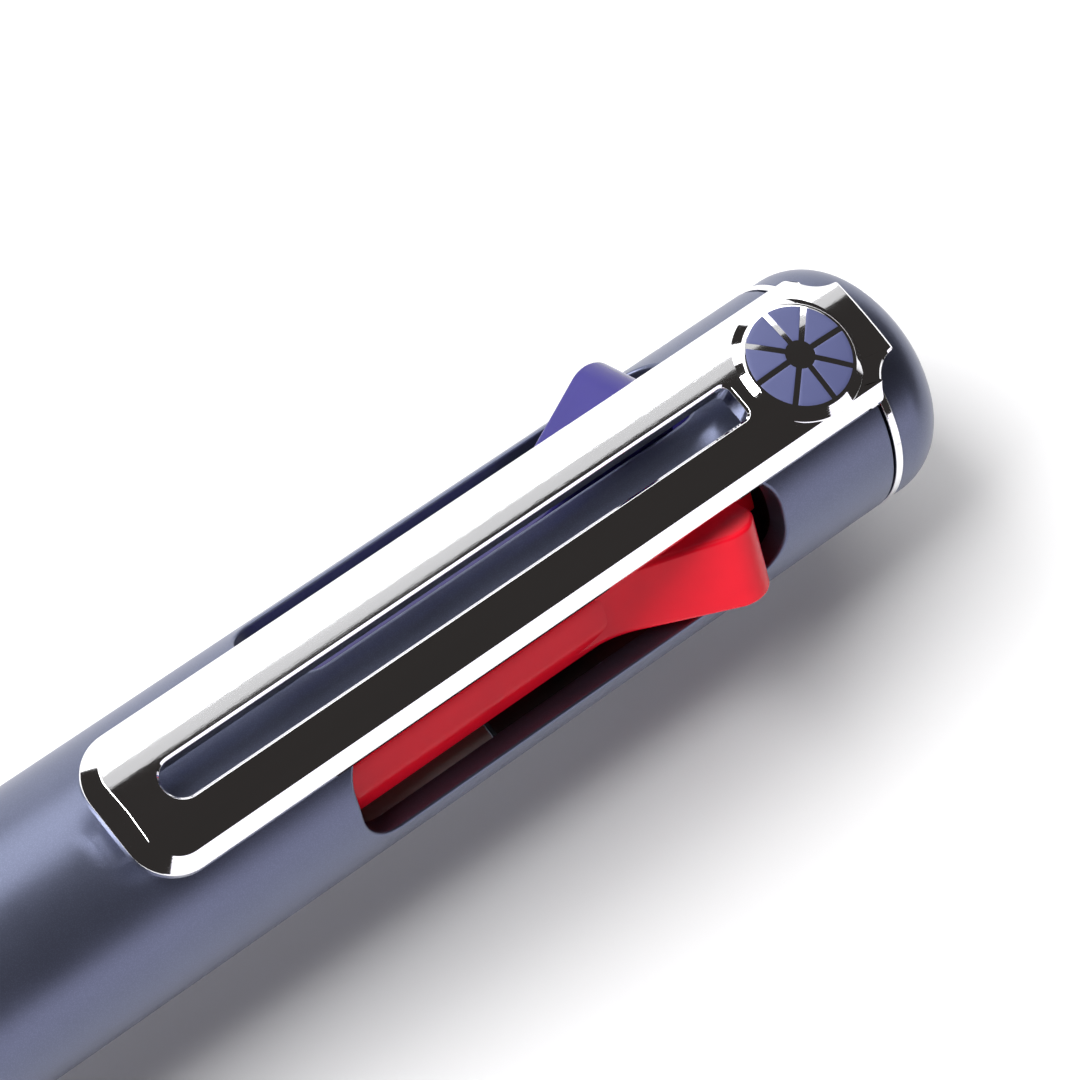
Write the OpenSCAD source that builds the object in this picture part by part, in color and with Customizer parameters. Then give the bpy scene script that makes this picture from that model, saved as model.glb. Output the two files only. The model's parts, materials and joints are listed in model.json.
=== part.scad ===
// Three-colour click pen: three sliders, three refills, sprung clip, screw-off front
// Drawn lying along X with the cap towards +X, resting on its black slider

/* [Body] */
// Length from the mouth of the nose to the crown of the cap
overall_length = 143; // [125:0.5:160]
// Outer diameter of the rear barrel
barrel_d = 12.5; // [11.5:0.1:14]
// Wall thickness of the rear barrel
barrel_wall = 1.3; // [1:0.05:1.6]
// Front end of the rear barrel, from the mouth of the nose
barrel_front = 71.4; // [68:0.1:76]
// Outer diameter of the front barrel, ring and grip seat
front_d = 12.4; // [11.4:0.1:12.5]

/* [Cap] */
// Height of the cap above its chrome ring
cap_height = 4.8; // [4:0.1:6]
// Straight height of the cap before it rounds over
cap_straight = 0.8; // [0.3:0.1:1.5]
// Radius of the cap's shoulder
cap_shoulder = 3.0; // [2:0.1:3.6]
// Width of the chrome ring under the cap
cap_ring_w = 0.45; // [0.3:0.05:1]
// Diameter of the chrome ring under the cap
cap_ring_d = 12.6; // [12.5:0.05:13.2]

/* [Slots] */
// Distance from the cap's seat back to the rear end of each slot
slot_rear_gap = 7.66; // [6:0.1:10]
// Length of each slot
slot_length = 26.3; // [24:0.1:30]
// Width of each slot
slot_width = 5.6; // [5:0.1:6]
// Corner radius of each slot
slot_corner = 2.2; // [1:0.1:2.6]

/* [Sliders] */
// Travel of each slider
travel = 10; // [8:0.5:12]
// Height of the thumb piece's crest above the pen's axis
thumb_top = 7.95; // [7.4:0.05:8.6]
// Width of the thumb piece
thumb_width = 4.2; // [3.6:0.1:4.8]
// Distance from the cap's seat back to the crest of the thumb piece
thumb_crest = 11.3; // [10.5:0.1:12]
// Radius of the thumb piece's crest
thumb_crest_r = 1.5; // [1:0.1:2]
// Slope of the thumb piece's ramp, in degrees
thumb_slope = 31.3; // [25:0.1:40]
// Radius of the hollow at the foot of the ramp
thumb_hollow = 5.3; // [3:0.1:8]
// Outer face of the slider's bar above the pen's axis
bar_top = 4.6; // [4.4:0.05:4.7]
// Inner face of the slider's bar above the pen's axis
bar_bottom = 2.6; // [2.5:0.05:3]
// Width of the slider's bar
bar_width = 3.6; // [3:0.1:3.7]

/* [Refills] */
// Distance of each refill from the pen's axis
refill_r = 2.9; // [2.8:0.02:3]
// Outer diameter of a refill's tube
tube_d = 2.35; // [2.2:0.05:2.4]
// Bore of a refill's tube
tube_bore = 1.7; // [1.5:0.05:1.8]
// Diameter of a refill's metal tip
tip_d = 2.3; // [2.2:0.05:2.35]
// Writing ball diameter
ball_d = 0.7; // [0.5:0.1:1]
// How far the writing ball sits behind the mouth at rest
ball_rest = 8; // [6:0.5:9]
// Distance of the tip from the axis at its shoulder, at rest
tip_rest_r = 2.45; // [2.4:0.05:2.6]

/* [Springs] */
// Wire diameter of a slider's spring
wire_d = 0.34; // [0.25:0.01:0.4]
// Mean coil diameter of a slider's spring
coil_d = 2.84; // [2.7:0.02:3]
// Number of coils in a slider's spring
coils = 9; // [7:1:12]

/* [Clip] */
// Width of the clip
clip_width = 7.6; // [7:0.1:8.4]
// Top of the clip above the pen's axis
clip_top = 8.85; // [8.4:0.05:9.4]
// Underside of the clip above the pen's axis
clip_under = 7.5; // [7.2:0.05:7.8]
// Distance from the cap's seat back to the clip's tip
clip_reach = 45.5; // [40:0.5:50]
// Corner radius of the clip's tip
clip_corner = 2.4; // [1.5:0.1:3]
// Width of the long window in the clip
clip_window_w = 1.95; // [1.5:0.05:2.5]
// Width of the clip's end tab over the cap
clip_tab_w = 4.3; // [3.5:0.1:5]
// Turn of the clip about the pen's axis, away from midway between two sliders
clip_turn = 6.5; // [0:0.5:10]
// Distance from the cap's seat back to the clip's pivot
clip_pivot = 4.24; // [4:0.02:5]
// Diameter of the round boss on the clip
boss_d = 6.6; // [6:0.1:7]
// Diameter of the enamel in the boss
badge_d = 5.3; // [4.8:0.1:5.6]
// Number of enamel segments in the boss
badge_segments = 8; // [5:1:12]

/* [Front] */
// Mouth of the nose
mouth_d = 2.6; // [2.5:0.05:2.8]
// Length of the nose cone
nose_length = 22; // [18:0.5:26]
// Length of the rubber grip
grip_length = 28; // [20:1:34]
// Number of grooves round the grip
grip_grooves = 9; // [5:1:14]
// Diameter of the rubber grip
grip_d = 12; // [11:0.1:12]
// Diameter of the chrome ring between the barrels
centre_ring_d = 12; // [11.6:0.1:12]
// Pitch of the screw between the barrels
thread_pitch = 1.5; // [1:0.1:2]
// Outer diameter of the screw on the insert
thread_d = 10.4; // [10:0.1:10.5]

/* [Hidden] */
$fn = 64;
barrel_r = barrel_d / 2;
bore_r = barrel_r - barrel_wall;
front_r = front_d / 2;
seat_x = overall_length - cap_height;
drop = thumb_top;
slot_rear = seat_x - slot_rear_gap;
slot_front = slot_rear - slot_length;
ring_front = seat_x - cap_ring_w;
barrel_rear = ring_front - 0.15;
cap_rise = cap_height - cap_straight;
cap_in = barrel_r - cap_shoulder;
crown_r = (cap_rise * cap_rise + cap_in * cap_in - cap_shoulder * cap_shoulder)
    / (2 * (cap_rise - cap_shoulder));
crown_tilt = atan2(cap_in, crown_r - cap_rise);
crest_x = seat_x - thumb_crest;
crest_c = thumb_top - thumb_crest_r;
ramp_top = [crest_x - thumb_crest_r * sin(thumb_slope), crest_c + thumb_crest_r * cos(thumb_slope)];
ramp_low_r = bar_top + thumb_hollow * (1 - cos(thumb_slope));
ramp_low = [ramp_top[0] - (ramp_top[1] - ramp_low_r) / tan(thumb_slope), ramp_low_r];
hollow_x = ramp_low[0] - thumb_hollow * sin(thumb_slope);
bar_front = 98;
bar_rear = seat_x - 7.2;
stem_r = 1.0;
stop_x = bar_rear + 0.4;
disc_front = 80;
disc_rear = 82;
core_split = seat_x - 25;
rib_t = 0.6;
pivot_x = 75;
tube_rear = 77;
tip_shoulder = ball_rest + 3;
tilt_rest = atan((refill_r - tip_rest_r) / (pivot_x - tip_shoulder));
insert_front = 61.5;
insert_rear = 79;
insert_bore = 4.3;
neck_r = 4.9;
front_bore = 4.45;
socket_r = 4.62;
nose_bore = 3.9;
ring_gap = 0.1;
centre_ring_w = 1.7;
centre_ring_x = barrel_front - ring_gap - centre_ring_w;
front_rear = centre_ring_x - ring_gap;
grip_x = nose_length + 2;
grip_seat_r = 5.3;
pivot_clip_x = seat_x - clip_pivot;
pivot_clip_r = 7.0;
pin_r = 0.5;
clip_tip = seat_x - clip_reach;
clip_end = seat_x + 0.2;
slot_angles = [45, -45, 180];
rib_angles = [0, 90, -90];
latch_r = 2.4;

// The pen's axis is lifted so that its lowest slider touches the ground
module seat() {
    translate([-overall_length / 2, 0, drop]) children();
}

module rod(x0, x1, r) {
    translate([x0, 0, 0]) rotate([0, 90, 0]) cylinder(h = x1 - x0, r = r);
}

module tube(x0, x1, r_out, r_in) {
    difference() {
        rod(x0, x1, r_out);
        rod(x0 - 1, x1 + 1, r_in);
    }
}

// Turns a half outline of [radius, distance along X] about the pen's axis
module spin() {
    rotate([0, 90, 0]) rotate_extrude() children();
}

// Stands a plan outline of [X, side] up from height r0 to r1
module raise(r0, r1) {
    translate([0, 0, r0]) linear_extrude(height = r1 - r0) children();
}

// Gives a side outline of [X, height] a width, centred
module widen(w) {
    rotate([90, 0, 0]) linear_extrude(height = w, center = true) children();
}

// Draws a cross-section of [side, height] out along X
module run(x0, x1) {
    translate([x0, 0, 0]) rotate([90, 0, 90]) linear_extrude(height = x1 - x0) children();
}

module rounded(x0, x1, w, rc) {
    translate([x0 + rc, -w / 2]) square([x1 - x0 - 2 * rc, w]);
    translate([x0, rc - w / 2]) square([x1 - x0, w - 2 * rc]);
    for (x = [x0 + rc, x1 - rc], y = [rc - w / 2, w / 2 - rc]) translate([x, y]) circle(r = rc);
}

// ---- rear barrel and what is fixed in it ----

module rear_barrel() {
    color([0.33, 0.36, 0.50]) seat() difference() {
        rod(barrel_front, barrel_rear, barrel_r);
        rod(barrel_front - 1, barrel_rear + 1, bore_r);
        for (a = slot_angles) {
            rotate([a, 0, 0]) raise(3, 8) rounded(slot_front, slot_rear, slot_width, slot_corner);
        }
        rotate([-clip_turn, 0, 0]) translate([pivot_clip_x, 0, 3]) cylinder(h = 5, r = 0.92);
    }
}

module cap_outline() {
    translate([0, seat_x]) square([barrel_r, cap_straight]);
    intersection() {
        translate([cap_in, seat_x + cap_straight]) circle(r = cap_shoulder);
        translate([0, seat_x + cap_straight]) square([barrel_r, cap_rise]);
    }
    intersection() {
        translate([0, overall_length - crown_r]) circle(r = crown_r);
        polygon([[0, seat_x + cap_straight], [cap_in, seat_x + cap_straight],
            [crown_r * sin(crown_tilt), overall_length - crown_r * (1 - cos(crown_tilt))],
            [crown_r * sin(crown_tilt), overall_length + 1], [0, overall_length + 1]]);
    }
}

module cap() {
    color([0.33, 0.36, 0.50]) seat() difference() {
        union() {
            spin() cap_outline();
            rod(seat_x - 3.5, seat_x + 0.1, bore_r - 0.03);
        }
        rod(seat_x - 4, seat_x + 1.2, bore_r - 1.1);
    }
}

module cap_ring() {
    color([0.85, 0.86, 0.88]) seat() tube(ring_front, seat_x, cap_ring_d / 2, bore_r);
}

module cross_ribs(x0, x1) {
    for (a = rib_angles) {
        rotate([a, 0, 0]) translate([x0, -rib_t / 2, 0]) cube([x1 - x0, rib_t, bore_r - 0.1]);
    }
}

// Light guide: a disc that the springs stand on, with ribs between the sliders
module guide_core() {
    color([0.80, 0.80, 0.78]) seat() difference() {
        union() {
            rod(disc_front, disc_rear, bore_r - 0.05);
            cross_ribs(disc_rear - 0.1, core_split);
            rod(disc_rear - 0.1, core_split, 1.1);
        }
        for (a = slot_angles) {
            rotate([a, 0, 0]) translate([0, 0, refill_r]) rod(disc_front - 1, disc_rear + 1, stem_r + 0.12);
        }
    }
}

// Dark rear guide with a catch pocket for each slider and a stop behind them
module latch_core() {
    color([0.06, 0.06, 0.07]) seat() difference() {
        union() {
            rod(core_split + 0.3, stop_x + 0.3, latch_r);
            cross_ribs(core_split + 0.3, stop_x + 0.1);
            rod(stop_x, seat_x - 3.7, bore_r - 0.05);
        }
        for (a = slot_angles) {
            rotate([a, 0, 0]) translate([bar_rear - travel - 1.4, -1.5, 1.8]) cube([1.6, 3, 1]);
        }
    }
}

module thread_outline() {
    turns = floor((barrel_front - insert_front - 2.4) / thread_pitch);
    polygon(concat([[insert_bore, insert_front], [neck_r - 0.3, insert_front], [neck_r, insert_front + 0.6]],
        [for (i = [0 : turns - 1], s = [0 : 3]) [s == 1 || s == 2 ? thread_d / 2 : neck_r,
            insert_front + 0.8 + (i + [0.1, 0.4, 0.6, 0.9][s]) * thread_pitch]],
        [[neck_r, barrel_front], [neck_r, insert_rear], [insert_bore, insert_rear]]));
}

module threaded_insert() {
    color([0.78, 0.66, 0.38]) seat() spin() thread_outline();
}

// ---- clip ----

module on_clip() {
    seat() rotate([-clip_turn, 0, 0]) children();
}

module clip_foot() {
    color([0.80, 0.81, 0.83]) on_clip() difference() {
        union() {
            widen(2.6) translate([pivot_clip_x, pivot_clip_r]) circle(r = 0.95);
            translate([pivot_clip_x - 1.4, -1.3, 5]) cube([2.8, 2.6, 1.5]);
            translate([pivot_clip_x - 0.95, -1.3, 6]) cube([1.9, 2.6, 1]);
            translate([pivot_clip_x, 0, 4.98]) cylinder(h = 1.5, r = 0.9);
        }
        widen(4) translate([pivot_clip_x, pivot_clip_r]) circle(r = pin_r + 0.05);
        difference() {
            rod(pivot_clip_x - 3, pivot_clip_x + 3, barrel_r + 0.01);
            translate([pivot_clip_x, 0, 4]) cylinder(h = 3, r = 0.9);
        }
    }
}

module clip_plan() {
    difference() {
        union() {
            rounded(clip_tip, seat_x - 4, clip_width, clip_corner);
            translate([seat_x - 10, -clip_width / 2]) square([10 + clip_end - seat_x, clip_width]);
        }
        for (s = [-1, 1]) {
            translate([clip_end + 0.2, s * (clip_tab_w / 2 + 2.05)]) circle(r = 2.05);
            translate([clip_end - 0.1, s * (clip_width / 2 + 2.05 - 0.6)]) circle(r = 2.05);
        }
        clip_window();
    }
}

// Long window, round at the clip's tip and nearly square at the boss
module clip_window() {
    x0 = clip_tip + 2.95;
    x1 = seat_x - 8.1;
    translate([x0 + clip_window_w / 2, 0]) circle(d = clip_window_w);
    rounded(x0 + clip_window_w / 2, x1, clip_window_w, 0.4);
    translate([x0 + clip_window_w / 2, -clip_window_w / 2]) square([3, clip_window_w]);
}

module clip_section() {
    hw = clip_width / 2;
    intersection() {
        polygon([[-hw, clip_under], [hw, clip_under], [hw, clip_top - 0.9],
            [hw - 0.8, clip_top - 0.1], [hw - 1.4, clip_top + 0.5],
            [1.4 - hw, clip_top + 0.5], [0.8 - hw, clip_top - 0.1], [-hw, clip_top - 0.9]]);
        translate([0, clip_top - 20]) circle(r = 20);
    }
}

module clip_side() {
    polygon([[clip_tip, clip_under], [clip_end, clip_under], [clip_end, clip_top - 0.75],
        [clip_end - 2, clip_top + 0.3], [clip_tip + 1.1, clip_top + 0.3], [clip_tip, clip_top - 0.9]]);
}

module clip() {
    color([0.84, 0.85, 0.87]) on_clip() difference() {
        union() {
            intersection() {
                raise(clip_under, clip_top + 1) clip_plan();
                run(clip_tip - 1, clip_end + 1) clip_section();
                widen(clip_width + 2) clip_side();
            }
            widen(2.8) difference() {
                translate([clip_tip + 1.35, clip_under + 0.25]) circle(r = 1.25);
                translate([clip_tip - 2, clip_under + 0.4]) square([6, 2]);
            }
            for (s = [-1, 1]) translate([0, s * 1.9, 0]) {
                widen(0.9) translate([pivot_clip_x, pivot_clip_r]) circle(r = 0.75);
                translate([pivot_clip_x - 0.75, -0.45, pivot_clip_r]) cube([1.5, 0.9, 0.6]);
            }
        }
        translate([pivot_clip_x - 1.7, -1.45, clip_under - 0.6]) cube([3.4, 2.9, 1.25]);
        translate([pivot_clip_x, 0, clip_top - 0.45]) cylinder(h = 2, r = boss_d / 2);
        widen(8) translate([pivot_clip_x, pivot_clip_r]) circle(r = pin_r);
    }
}

module clip_pin() {
    color([0.62, 0.63, 0.65]) on_clip() widen(4.7) translate([pivot_clip_x, pivot_clip_r]) circle(r = pin_r);
}

module badge_plan() {
    difference() {
        circle(d = badge_d);
        circle(r = 0.75);
        for (i = [0 : badge_segments - 1]) {
            rotate(360 * i / badge_segments) translate([0, -0.14]) square([badge_d, 0.28]);
        }
    }
}

module clip_boss() {
    color([0.86, 0.87, 0.89]) on_clip() translate([pivot_clip_x, 0, 0]) difference() {
        intersection() {
            rotate_extrude() polygon([[0, clip_top - 0.45], [boss_d / 2, clip_top - 0.45],
                [boss_d / 2, clip_top + 0.25], [boss_d / 2 - 0.25, clip_top + 0.5], [0, clip_top + 0.5]]);
            translate([0, 0, clip_top + 0.6 - 14]) sphere(r = 14);
        }
        translate([0, 0, clip_top + 0.1]) linear_extrude(height = 2) badge_plan();
    }
}

module clip_badge() {
    color([0.36, 0.40, 0.58]) on_clip() translate([pivot_clip_x, 0, clip_top + 0.1])
        linear_extrude(height = 0.34) badge_plan();
}

// ---- coil springs ----

// Closed wire mesh for a spring standing along X on the local axis
module coil(x0, x1, mean_d, wire, turns, steps) {
    n = turns * steps;
    sides = 6;
    r = mean_d / 2;
    w = wire / 2;
    rise = x1 - x0 - wire;
    points = [for (i = [0 : n], k = [0 : sides - 1])
        let (a = 360 * i / steps, b = 360 * k / sides, q = r + w * cos(b))
        [x0 + w + rise * i / n + w * sin(b), q * cos(a), q * sin(a)]];
    walls = [for (i = [0 : n - 1], k = [0 : sides - 1])
        let (a = i * sides + k, b = i * sides + (k + 1) % sides)
        [a, b, b + sides, a + sides]];
    ends = [[for (k = [0 : sides - 1]) sides - 1 - k], [for (k = [0 : sides - 1]) n * sides + k]];
    polyhedron(points = points, faces = concat(walls, ends), convexity = 10);
}

module spring_at(angle) {
    seat() rotate([angle, 0, 0]) translate([0, 0, refill_r])
        coil(disc_rear + 0.05, bar_front - 0.05, coil_d, wire_d, coils, 16);
}

module spring_red() {
    color([0.75, 0.76, 0.78]) spring_at(slot_angles[0]);
}

module spring_blue() {
    color([0.75, 0.76, 0.78]) spring_at(slot_angles[1]);
}

module spring_black() {
    color([0.75, 0.76, 0.78]) spring_at(slot_angles[2]);
}

module clip_spring() {
    color([0.75, 0.76, 0.78]) on_clip() translate([seat_x - 1.75, 0, 0]) rotate([0, -90, 0])
        coil(6.42, clip_under - 0.08, 1.6, 0.24, 2.5, 16);
}

// ---- sliders ----

module bar_section() {
    hw = bar_width / 2;
    polygon([[-hw, bar_bottom], [hw, bar_bottom], [hw, bar_top - 0.4], [0.8, bar_top],
        [-0.8, bar_top], [-hw, bar_top - 0.4]]);
}

module thumb_side() {
    floor_r = bar_top - 1;
    difference() {
        translate([hollow_x, floor_r]) square([ramp_low[0] - hollow_x, ramp_low_r - floor_r]);
        translate([hollow_x, bar_top + thumb_hollow]) circle(r = thumb_hollow);
    }
    polygon([[ramp_low[0], floor_r], ramp_low, ramp_top, [crest_x, crest_c],
        [crest_x + thumb_crest_r, crest_c], [crest_x + thumb_crest_r, floor_r]]);
    translate([crest_x, crest_c]) circle(r = thumb_crest_r);
}

module slider_at(angle) {
    seat() rotate([angle, 0, 0]) {
        run(bar_front, bar_rear) bar_section();
        widen(thumb_width) thumb_side();
        translate([bar_front, -1.2, 1.9]) cube([3, 2.4, 1.2]);
        translate([bar_rear - 1.2, -1.2, bar_bottom - 0.15]) cube([1.2, 2.4, 0.5]);
        translate([0, 0, refill_r]) {
            rod(tube_rear + 0.15, bar_front + 0.5, stem_r);
            rod(tube_rear + 0.15, tube_rear + 2, 1.15);
            rod(pivot_x - 2, tube_rear + 0.5, 0.7);
        }
    }
}

module slider_red() {
    color([0.78, 0.10, 0.18]) slider_at(slot_angles[0]);
}

module slider_blue() {
    color([0.28, 0.26, 0.62]) slider_at(slot_angles[1]);
}

module slider_black() {
    color([0.05, 0.05, 0.06]) slider_at(slot_angles[2]);
}

// ---- refills ----

// Puts a piece drawn along the pen's axis on a refill's leaning axis
module on_refill(angle) {
    seat() rotate([angle, 0, 0]) translate([pivot_x, 0, refill_r]) rotate([0, -tilt_rest, 0])
        translate([-pivot_x, 0, 0]) children();
}

module tube_part(angle) {
    on_refill(angle) tube(tip_shoulder + 4.5, tube_rear, tube_d / 2, tube_bore / 2);
}

module tip_part(angle) {
    ball_x = ball_rest + ball_d / 2;
    on_refill(angle) spin() difference() {
        polygon([[0.2, ball_x - 0.17], [0.36, ball_x - 0.17], [0.5, ball_x + 0.35],
            [0.5, ball_rest + 1.2], [tip_d / 2, tip_shoulder], [tip_d / 2, tip_shoulder + 4.5],
            [tube_bore / 2 - 0.03, tip_shoulder + 4.5], [tube_bore / 2 - 0.03, tip_shoulder + 8],
            [0.2, tip_shoulder + 8]]);
        translate([0, ball_x]) circle(r = ball_d / 2 + 0.01);
    }
}

module ball_part(angle) {
    on_refill(angle) translate([ball_rest + ball_d / 2, 0, 0]) sphere(d = ball_d);
}

module ink_part(angle) {
    on_refill(angle) rod(tip_shoulder + 8.1, 60, tube_bore / 2 - 0.02);
}

module tube_red() {
    color([0.85, 0.85, 0.83]) tube_part(slot_angles[0]);
}

module tube_blue() {
    color([0.85, 0.85, 0.83]) tube_part(slot_angles[1]);
}

module tube_black() {
    color([0.85, 0.85, 0.83]) tube_part(slot_angles[2]);
}

module tip_red() {
    color([0.80, 0.68, 0.40]) tip_part(slot_angles[0]);
}

module tip_blue() {
    color([0.80, 0.68, 0.40]) tip_part(slot_angles[1]);
}

module tip_black() {
    color([0.80, 0.68, 0.40]) tip_part(slot_angles[2]);
}

module ball_red() {
    color([0.60, 0.60, 0.62]) ball_part(slot_angles[0]);
}

module ball_blue() {
    color([0.60, 0.60, 0.62]) ball_part(slot_angles[1]);
}

module ball_black() {
    color([0.60, 0.60, 0.62]) ball_part(slot_angles[2]);
}

module ink_red() {
    color([0.70, 0.05, 0.08]) ink_part(slot_angles[0]);
}

module ink_blue() {
    color([0.10, 0.12, 0.50]) ink_part(slot_angles[1]);
}

module ink_black() {
    color([0.03, 0.03, 0.04]) ink_part(slot_angles[2]);
}

// ---- front barrel ----

module centre_ring() {
    color([0.85, 0.86, 0.88]) seat() difference() {
        tube(centre_ring_x, centre_ring_x + centre_ring_w, centre_ring_d / 2, thread_d / 2 + 0.15);
        spin() translate([centre_ring_d / 2, centre_ring_x + centre_ring_w / 2]) circle(r = 0.2);
    }
}

module front_barrel() {
    color([0.33, 0.36, 0.50]) seat() difference() {
        union() {
            rod(nose_length, grip_x, front_r);
            rod(nose_length, front_rear, grip_seat_r);
            rod(grip_x + grip_length, front_rear, front_r);
        }
        rod(nose_length - 1, nose_length + 6, socket_r);
        rod(nose_length + 5, front_rear, front_bore);
        rod(insert_front - 1, front_rear + 1, thread_d / 2 + 0.15);
    }
}

module grip() {
    step = (grip_length - 4) / grip_grooves;
    color([0.10, 0.10, 0.11]) seat() difference() {
        tube(grip_x + 0.02, grip_x + grip_length - 0.02, grip_d / 2, grip_seat_r);
        for (i = [0 : grip_grooves - 1]) {
            spin() translate([grip_d / 2 + 0.2, grip_x + 2 + (i + 0.5) * step]) circle(r = 0.55);
        }
    }
}

module nose_cone() {
    m = mouth_d / 2;
    color([0.84, 0.85, 0.87]) seat() spin() polygon([[m, 0], [m + 0.35, 0], [m + 0.6, 0.3],
        [4.9, 13], [front_r - 0.1, nose_length], [socket_r - 0.02, nose_length],
        [socket_r - 0.02, nose_length + 5.5], [nose_bore, nose_length + 5.5], [nose_bore, nose_length],
        [tip_rest_r + tip_d / 2 + 0.15, 10.5], [m, 1]]);
}

rear_barrel();
cap();
cap_ring();
guide_core();
latch_core();
threaded_insert();
clip_foot();
clip_spring();
clip();
clip_boss();
clip_badge();
clip_pin();
slider_red();
slider_blue();
slider_black();
spring_red();
spring_blue();
spring_black();
tube_red();
tube_blue();
tube_black();
tip_red();
tip_blue();
tip_black();
ball_red();
ball_blue();
ball_black();
ink_red();
ink_blue();
ink_black();
centre_ring();
front_barrel();
grip();
nose_cone();
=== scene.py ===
import json
import math

import bmesh
import bpy
from mathutils import Matrix, Vector


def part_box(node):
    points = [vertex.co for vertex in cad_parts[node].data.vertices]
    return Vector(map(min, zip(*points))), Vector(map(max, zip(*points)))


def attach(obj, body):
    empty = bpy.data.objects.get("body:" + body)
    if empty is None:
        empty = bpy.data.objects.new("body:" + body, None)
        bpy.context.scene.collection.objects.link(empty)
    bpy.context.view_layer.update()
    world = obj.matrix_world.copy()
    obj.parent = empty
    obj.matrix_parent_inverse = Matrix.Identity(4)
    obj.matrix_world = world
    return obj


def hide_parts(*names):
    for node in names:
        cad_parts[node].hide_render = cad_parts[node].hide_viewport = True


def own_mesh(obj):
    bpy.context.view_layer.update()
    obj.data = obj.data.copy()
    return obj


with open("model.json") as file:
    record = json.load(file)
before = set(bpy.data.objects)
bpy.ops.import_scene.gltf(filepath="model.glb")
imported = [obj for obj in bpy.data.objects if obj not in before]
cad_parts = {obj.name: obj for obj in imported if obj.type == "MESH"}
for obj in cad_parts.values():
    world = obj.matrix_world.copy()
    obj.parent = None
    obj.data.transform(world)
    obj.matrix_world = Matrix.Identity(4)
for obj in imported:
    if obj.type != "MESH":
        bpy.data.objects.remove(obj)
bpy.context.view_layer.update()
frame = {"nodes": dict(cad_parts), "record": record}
NODES = frame["nodes"]
BODIES = frame["record"]["behaviour"]["bodies"]
BODY_OF = {node: body for body, group in BODIES.items() for node in group}

# ---- where things are, taken from the frame ----
# Lengths along the pen are in millimetres from the mouth of the nose towards the cap.

MM = 0.001
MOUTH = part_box("nose_cone")[0].x
BARREL_LOW, BARREL_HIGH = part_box("rear_barrel")
AXIS_Z = (BARREL_LOW.z + BARREL_HIGH.z) / 2


def along(node, end):
    """Where a node starts (end 0) or stops (end 1) along the pen."""
    return (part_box(node)[end].x - MOUTH) / MM


BARREL_R = (BARREL_HIGH.z - BARREL_LOW.z) / 2 / MM
BARREL_WALL = 1.3
BORE_R = BARREL_R - BARREL_WALL
SEAT_X = along("cap_ring", 1)
CROWN_X = along("cap", 1)
RING_R = (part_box("cap_ring")[1].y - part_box("cap_ring")[0].y) / 2 / MM
COLOURS = {"red": 45, "blue": -45, "black": 180}
CLIP_ANGLE = -6.5
UP = Vector((0, 0, 1))


def pen_side(angle=0.0):
    """Turns (along, sideways, out from the axis) in mm, on one side of the pen, into the row frame."""
    turn = Matrix.Rotation(math.radians(angle), 4, "X")
    return Matrix.Translation((MOUTH, 0, AXIS_Z)) @ turn @ Matrix.Scale(MM, 4)


def lying_along(angle=0.0):
    """As pen_side, for a section drawn (sideways, out) and run along the pen."""
    return pen_side(angle) @ Matrix(((0, 0, 1, 0), (1, 0, 0, 0), (0, 1, 0, 0), (0, 0, 0, 1)))


def standing_across(angle=0.0):
    """As pen_side, for an outline drawn (along, out) and given a width."""
    return pen_side(angle) @ Matrix(((1, 0, 0, 0), (0, 0, 1, 0), (0, 1, 0, 0), (0, 0, 0, 1)))


PEN_AXIS = pen_side() @ Matrix.Rotation(math.radians(90), 4, "Y")

# ---- outlines and meshes ----

WELD = 2e-7


def spun(vector, angle):
    c, s = math.cos(angle), math.sin(angle)
    return Vector((vector.x * c - vector.y * s, vector.x * s + vector.y * c))


def rounded(corners, steps=5):
    """Closed outline through (u, v, radius[, steps]) corners taken anticlockwise, each turned into an arc.
    It is a list of (point, outward normal). A corner of radius 0 stays one point."""
    outline = []
    for i, (u, v, radius, *count) in enumerate(corners):
        here = Vector((u, v))
        come = (here - Vector(corners[i - 1][:2])).normalized()
        go = (Vector(corners[(i + 1) % len(corners)][:2]) - here).normalized()
        if radius == 0:
            way = (come + go).normalized() if (come + go).length > 1e-6 else come
            outline.append((here, Vector((way.y, -way.x))))
            continue
        turn = math.atan2(come.cross(go), come.dot(go))
        side = 1 if turn > 0 else -1
        inward = Vector((-come.y, come.x)) * side
        centre = here - come * radius * math.tan(abs(turn) / 2) + inward * radius
        n = count[0] if count else steps
        for k in range(n + 1):
            out = spun(-inward, turn * k / n)
            outline.append((centre + out * radius, out * side))
    return outline


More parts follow.
